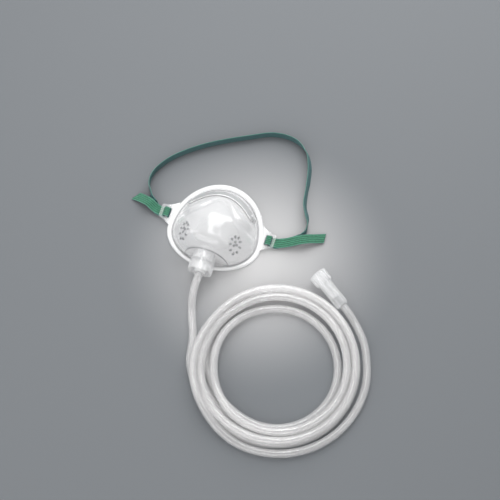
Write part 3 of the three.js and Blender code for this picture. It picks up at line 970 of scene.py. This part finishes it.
def on_dome(x, y):
    """A place on the dome's outer face whose z axis is the surface's normal."""
    point, normal = dome_over(x, y)
    turn = Vector((0, 0, 1)).rotation_difference(normal)
    return Matrix.Translation(point) @ turn.to_matrix().to_4x4()


def port_place():
    """z outwards along the port's axis, from its outer face."""
    return Matrix.Translation((0, PORT_Y, PORT_HEIGHT)) @ Matrix.Rotation(math.radians(90), 4, "X")


def plugs(name, places, radius, low, high, look, n=24):
    """Closed cylinders of n sides, one at each place, in one mesh to cut or join with."""
    vertices, faces = [], []
    for place in places:
        first = len(vertices)
        for h in (low, high):
            for j in range(n):
                a = 2 * math.pi * j / n
                vertices.append(place @ Vector((radius * math.cos(a), radius * math.sin(a), h)))
        faces.append(tuple(first + j for j in reversed(range(n))))
        faces.append(tuple(first + n + j for j in range(n)))
        for i in range(n):
            k = (i + 1) % n
            faces.append((first + i, first + k, first + n + k, first + n + i))
    piece = add_object(name, vertices, faces, [look])
    face_out(piece)
    return piece


def plug(name, radius, low, high, place, segments=24):
    """One closed cylinder to cut or join with."""
    return plugs(name, [place], radius, low, high, CLEAR, segments)


VENT_X, VENT_Y = 21.5, -15.0
VENT_BOSS = 7.8
VENT_HOLE = 0.75
VENT_LIP = 1.15
# Number of holes, distance from the middle, and how much each is stretched.
VENT_RINGS = [(9, 6.2, (1.35, 0.8)), (3, 1.8, (1, 1))]


def vent_places(side):
    """Oval holes in a ring that point at its middle, and three round ones inside it."""
    middle = on_dome(side * VENT_X, VENT_Y)
    places = []
    for count, away, shape in VENT_RINGS:
        for i in range(count):
            spot = middle @ Matrix.Rotation(2 * math.pi * i / count, 4, "Z")
            x, y, _ = (spot @ Matrix.Translation((away, 0, 0))).translation
            turn = spot.to_3x3().to_4x4()
            seat = Matrix.Translation(dome_over(x, y)[0])
            places.append(seat @ turn @ Matrix.Diagonal((*shape, 1, 1)))
    return places


def bead(name, points, radius, closed, look, sides=10):
    """A thin moulded line that lies on the shell."""
    count = len(points)
    vertices = []
    for i, point in enumerate(points):
        ahead = points[(i + 1) % count] if closed or i + 1 < count else point
        behind = points[i - 1] if closed or i else point
        tangent = (ahead - behind).normalized()
        across = tangent.cross(Vector((0, 0, 1))).normalized()
        up = across.cross(tangent)
        size = radius if closed else radius * min(1, 0.15 + 6 * min(i, count - 1 - i) / count)
        for j in range(sides):
            a = 2 * math.pi * j / sides
            vertices.append(point + (across * math.cos(a) + up * math.sin(a)) * size)
    faces = grid_faces(count, sides, close_rows=closed)
    if not closed:
        faces += [tuple(range(sides)), tuple(range((count - 1) * sides, count * sides))[::-1]]
    piece = add_object(name, vertices, faces, [look])
    face_out(piece)
    return piece


def vent_boss(side):
    """The raised circle round a group of vent holes."""
    place = on_dome(side * VENT_X, VENT_Y)
    points = []
    for i in range(72):
        a = 2 * math.pi * i / 72
        flat = place @ Vector((VENT_BOSS * math.cos(a), VENT_BOSS * math.sin(a), 0))
        point, normal = dome_over(flat.x, flat.y)
        points.append(point - normal * 0.1)
    return bead("boss", points, 0.38, True, CLEAR)


def chin_bead():
    """The lip along the upper edge of the chin's flat face."""
    points = []
    for i in range(81):
        x = -19 + 38 * i / 80
        low, high = RIM_THICKNESS, DOME_TOP
        for _ in range(30):
            middle = (low + high) / 2
            inside = abs(x) < half_width(CHIN_FACE, middle)
            low, high = (middle, high) if inside else (low, middle)
        points.append(Vector((x, CHIN_FACE + 0.15, low)))
    # Its dark colour is painted shade along the crease.
    return bead("lip", points, 0.6, False, CREASE_SHADE)


def half_width(y, z):
    """Half the dome's width at a y behind its centre and a height."""
    low, high = 0.0, RIM_HALF_WIDTH
    for _ in range(30):
        middle = (low + high) / 2
        angle = math.atan2(y - CENTRE_Y, middle)
        reach = math.hypot(middle, y - CENTRE_Y) / dome_radius(angle)
        if reach >= 1:
            high = middle
            continue
        plan, _ = fullness(angle)
        rise = math.acos(reach ** (plan / 2)) * 2 / math.pi
        low, high = (middle, high) if dome_point(angle, rise).z > z else (low, middle)
    return low


def mask_shell():
    piece = dome_mesh()
    cut(piece, [chin_bead(), vent_boss(1), vent_boss(-1)], "UNION")
    tabs = []
    for side in (1, -1):
        tab = prism("tab", tab_outline(), 0, TAB_THICKNESS, tab_place(side), [MILKY])
        apply(tab, "BEVEL", width=0.35 * MM, segments=3, limit_method="ANGLE", angle_limit=0.8)
        outer = TAB_REACH - 2.6 - 1.0
        cutters = [
            prism("slot", slot_outline(middle), -3, 5, tab_place(side), [MILKY])
            for middle in (outer, outer - 4.2)
        ]
        tabs.append(cut(tab, cutters))
    cut(piece, tabs, "UNION")
    neck = plug("neck", PORT_NECK, -PORT_LENGTH, 0, port_place(), 96)
    apply(neck, "BEVEL", width=0.5 * MM, segments=3, limit_method="ANGLE", angle_limit=1.0)
    cut(piece, [neck], "UNION")
    cut(piece, [plug("bore", PORT_BORE, -PORT_LENGTH - 2, 2, port_place(), 96)])
    for side in (1, -1):
        places = vent_places(side)
        # The vents' lips and the walls of their holes take the dark vinyl, as painted shade.
        cut(piece, [plugs("lip", places, VENT_LIP, -0.7, 0.3, CREASE_SHADE, 20)], "UNION")
        cut(piece, [plugs("vent", places, VENT_HOLE, -4, 4, CREASE_SHADE, 20)])
        stud = on_dome(side * CLIP_END_X, CLIP_END_Y)
        cut(piece, [plug("stud_hole", STUD_HOLE, -4, 4, stud)])
    smooth_by_angle(piece, 40)
    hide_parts("mask_shell")
    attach(piece, "mask")


# ---- nose clip and studs --------------------------------------------------------------
def clip_line(t):
    return Vector((t * CLIP_END_X, CLIP_PEAK_Y - (CLIP_PEAK_Y - CLIP_END_Y) * t * t))


def nose_clip():
    """A strip with round ends and soft edges that follows the shell."""
    rows, columns = 121, 13
    overrun = 1 + 2.5 / CLIP_END_X
    layers = []
    for lift in (CLIP_LIFT, CLIP_LIFT + CLIP_THICKNESS):
        points = []
        for i in range(rows):
            t = -overrun + 2 * overrun * i / (rows - 1)
            here = clip_line(t)
            ahead = (clip_line(t + 0.01) - clip_line(t - 0.01)).normalized()
            end = (overrun - abs(t)) * CLIP_END_X
            width = CLIP_WIDTH
            if end < CLIP_WIDTH / 2:
                width = 2 * math.sqrt(max(CLIP_WIDTH * end - end * end, 0.12))
            for j in range(columns):
                across = (j / (columns - 1) - 0.5) * width
                point, normal = dome_over(here.x - ahead.y * across, here.y + ahead.x * across)
                crown = 0.12 * (1 - (2 * j / (columns - 1) - 1) ** 2)
                points.append(point + normal * (lift + crown))
        layers.append(points)
    vertices = layers[0] + layers[1]
    n = rows * columns
    faces = []
    for i in range(rows - 1):
        for j in range(columns - 1):
            a = i * columns + j
            faces.append((a, a + 1, a + columns + 1, a + columns))
            faces.append((n + a, n + a + columns, n + a + columns + 1, n + a + 1))
    rim = list(range(columns))
    rim += [i * columns + columns - 1 for i in range(1, rows)]
    rim += [(rows - 1) * columns + j for j in range(columns - 2, -1, -1)]
    rim += [i * columns for i in range(rows - 2, 0, -1)]
    faces += [(a, b, n + b, n + a) for a, b in zip(rim, rim[1:] + rim[:1])]
    piece = add_object("nose_clip_visible", vertices, faces, [STRIP])
    face_out(piece)
    apply(piece, "BEVEL", width=0.18 * MM, segments=2, limit_method="ANGLE", angle_limit=0.8)
    places = [on_dome(side * CLIP_END_X, CLIP_END_Y) for side in (1, -1)]
    cut(piece, [plug("hole", STUD_HOLE, -4, 4, place) for place in places])
    smooth_by_angle(piece, 40)
    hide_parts("nose_clip")
    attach(piece, "mask")


def clip_stud(side):
    node = "clip_stud_left" if side < 0 else "clip_stud_right"
    under, inside = 1.7, -1.85
    profile = [
        (0.001, inside - 0.9), (1.6, inside - 0.9), (2.0, inside - 0.5), (2.0, inside),
        (1.3, inside), (1.3, under), (2.5, under), (2.45, under + 0.45), (1.9, under + 0.8),
        (1.0, under + 0.9), (0.001, under + 0.92),
    ]
    place = on_dome(side * CLIP_END_X, CLIP_END_Y)
    piece = lathe(node + "_visible", profile, place, [PLASTIC], 32)
    smooth_by_angle(piece, 40)
    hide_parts(node)
    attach(piece, "mask")


# ---- swivel connector and the tube's end sleeve ---------------------------------------
def swivel_collar():
    stem, inner, tip, bore = PORT_BORE - 0.3, COLLAR_RADIUS - 1.2, 3.1, 1.6
    inside, web, end = -PORT_LENGTH - 1.7, 1.8, COLLAR_END
    profile = [
        (bore, web - 2), (stem - 1.3, web - 2), (stem - 1.3, inside), (PORT_BORE + 1.6, inside),
        (PORT_BORE + 1.6, inside + 1.4), (stem, inside + 1.4), (stem, 0.3), (COLLAR_RADIUS, 0.3),
        (COLLAR_RADIUS, end - 5.2), (COLLAR_RADIUS, end), (inner, end), (inner, web), (tip, web),
        (tip - 0.3, web + 6), (bore, web + 6),
    ]
    piece = lathe("swivel_collar_visible", rounded(profile, 0.4), port_place(), [PLASTIC], 96)
    notches = []
    for i in range(8):
        a = 2 * math.pi * (i + 0.5) / 8
        away = COLLAR_RADIUS + 0.75
        place = port_place() @ Matrix.Translation((away * math.cos(a), away * math.sin(a), 0))
        notches.append(plug("notch", 1.7, end - 5.4, end + 3, place, 32))
    cut(piece, notches)
    smooth_by_angle(piece, 35)
    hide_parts("swivel_collar")
    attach(piece, "swivel")


def tube_sleeve():
    bore, start, nipple_end, end = 3.4, 2.1, 8.1, SLEEVE_END
    profile = [
        (bore, start), (bore + 1.8, start), (bore + 1.55, (start + end) / 2), (bore + 1.3, end),
        (1.6, end), (1.6, nipple_end), (bore, nipple_end),
    ]
    piece = lathe("tube_sleeve_visible", rounded(profile, 0.3), port_place(), [SLEEVE], 48)
    smooth_by_angle(piece, 35)
    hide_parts("tube_sleeve")
    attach(piece, "mask")


# ---- supply connector -----------------------------------------------------------------
def supply_connector():
    flutes = 14

    def fluted(r, h, a):
        """Scallops round the mouth's ring, so that fingers can grip it."""
        if r < CONNECTOR_MOUTH - 0.6 or h < CONNECTOR_SHOULDER:
            return r
        return r - 0.5 * (0.5 + 0.5 * math.cos(flutes * a)) ** 2

    top = CONNECTOR_LENGTH
    profile = [
        (0.001, 0), (4.6, 0), (5.4, 1.5), (5.4, 12), (5.4, CONNECTOR_SHOULDER - 1.2),
        (CONNECTOR_MOUTH, CONNECTOR_SHOULDER), (CONNECTOR_MOUTH, (CONNECTOR_SHOULDER + top) / 2),
        (CONNECTOR_MOUTH, top), (5.2, top), (3.5, CONNECTOR_SHOULDER - 3), (2.9, 9), (0.001, 9),
    ]
    turn = Vector((0, 0, 1)).rotation_difference(connector_axis()).to_matrix().to_4x4()
    place = Matrix.Translation(CONNECTOR_START) @ turn
    piece = lathe(
        "supply_connector_visible", rounded(profile, 0.5), place, [PLASTIC], 112, fluted,
    )
    smooth_by_angle(piece, 35)
    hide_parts("supply_connector")
    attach(piece, "mask")


# ---- floor and light ------------------------------------------------------------------
def floor():
    """A grey studio table that is brighter between the mask and the coil."""
    look, nodes, links, shader = principled("table", (0.5, 0.5, 0.5), 0.7)
    where = nodes.new("ShaderNodeTexCoord")
    reach = nodes.new("ShaderNodeVectorMath")
    reach.operation = "DISTANCE"
    reach.inputs[1].default_value = (0.04, -0.012, 0)
    links.new(where.outputs["Object"], reach.inputs[0])
    # Painted light: the table's colour is lighter near one point and darker with distance, as a pool
    # of light would make it.
    painted_light_pool = map_range(nodes, links, reach.outputs["Value"], 0.0, 0.118, 0.0, 1.0)
    tone = ramp(nodes, links, painted_light_pool, 0.0, 1.0, (0.385, 0.38, 0.38), (0.108, 0.116, 0.124))
    tone.color_ramp.interpolation = "EASE"
    links.new(tone.outputs["Color"], shader.inputs["Base Color"])
    half = 3000
    corners = [(-half, -half, 0), (half, -half, 0), (half, half, 0), (-half, half, 0)]
    piece = add_object("floor", corners, [(0, 1, 2, 3)], [look], smooth=False)
    piece.location.z = -0.0001


def area_light(name, place, target, size, power):
    data = bpy.data.lights.new(name, "AREA")
    data.shape = "RECTANGLE"
    data.size, data.size_y = size
    data.energy = power
    light = bpy.data.objects.new(name, data)
    light.location = place
    direction = Vector(target) - Vector(place)
    light.rotation_euler = direction.to_track_quat("-Z", "Y").to_euler()
    bpy.context.collection.objects.link(light)


def lighting():
    world = bpy.data.worlds.new("studio")
    world.use_nodes = True
    world.node_tree.nodes["Background"].inputs["Color"].default_value = (0.93, 0.96, 1.0, 1)
    world.node_tree.nodes["Background"].inputs["Strength"].default_value = 0.36
    bpy.context.scene.world = world
    area_light("softbox", (0.06, 0.86, 0.74), (0, -0.02, 0), (1.2, 1.0), 16)
    area_light("overhead", (-0.16, 0.32, 1.08), (0, -0.02, 0), (0.36, 0.7), 5.5)
    area_light("fill", (-0.25, -1.05, 0.8), (0.03, -0.05, 0), (2.0, 1.2), 17)
    area_light("side_left", (-1.1, 0.0, 0.6), (0.05, -0.05, 0), (0.6, 1.3), 3.5)
    area_light("side_right", (1.2, -0.2, 0.6), (0.05, -0.05, 0), (0.6, 1.3), 2.5)
    bpy.context.scene.view_settings.view_transform = "Standard"


# ---- the object -----------------------------------------------------------------------
tube_sleeve()
supply_connector()
supply_tube()
head_strap()
mask_shell()
nose_clip()
clip_stud(-1)
clip_stud(1)
swivel_collar()
floor()
lighting()
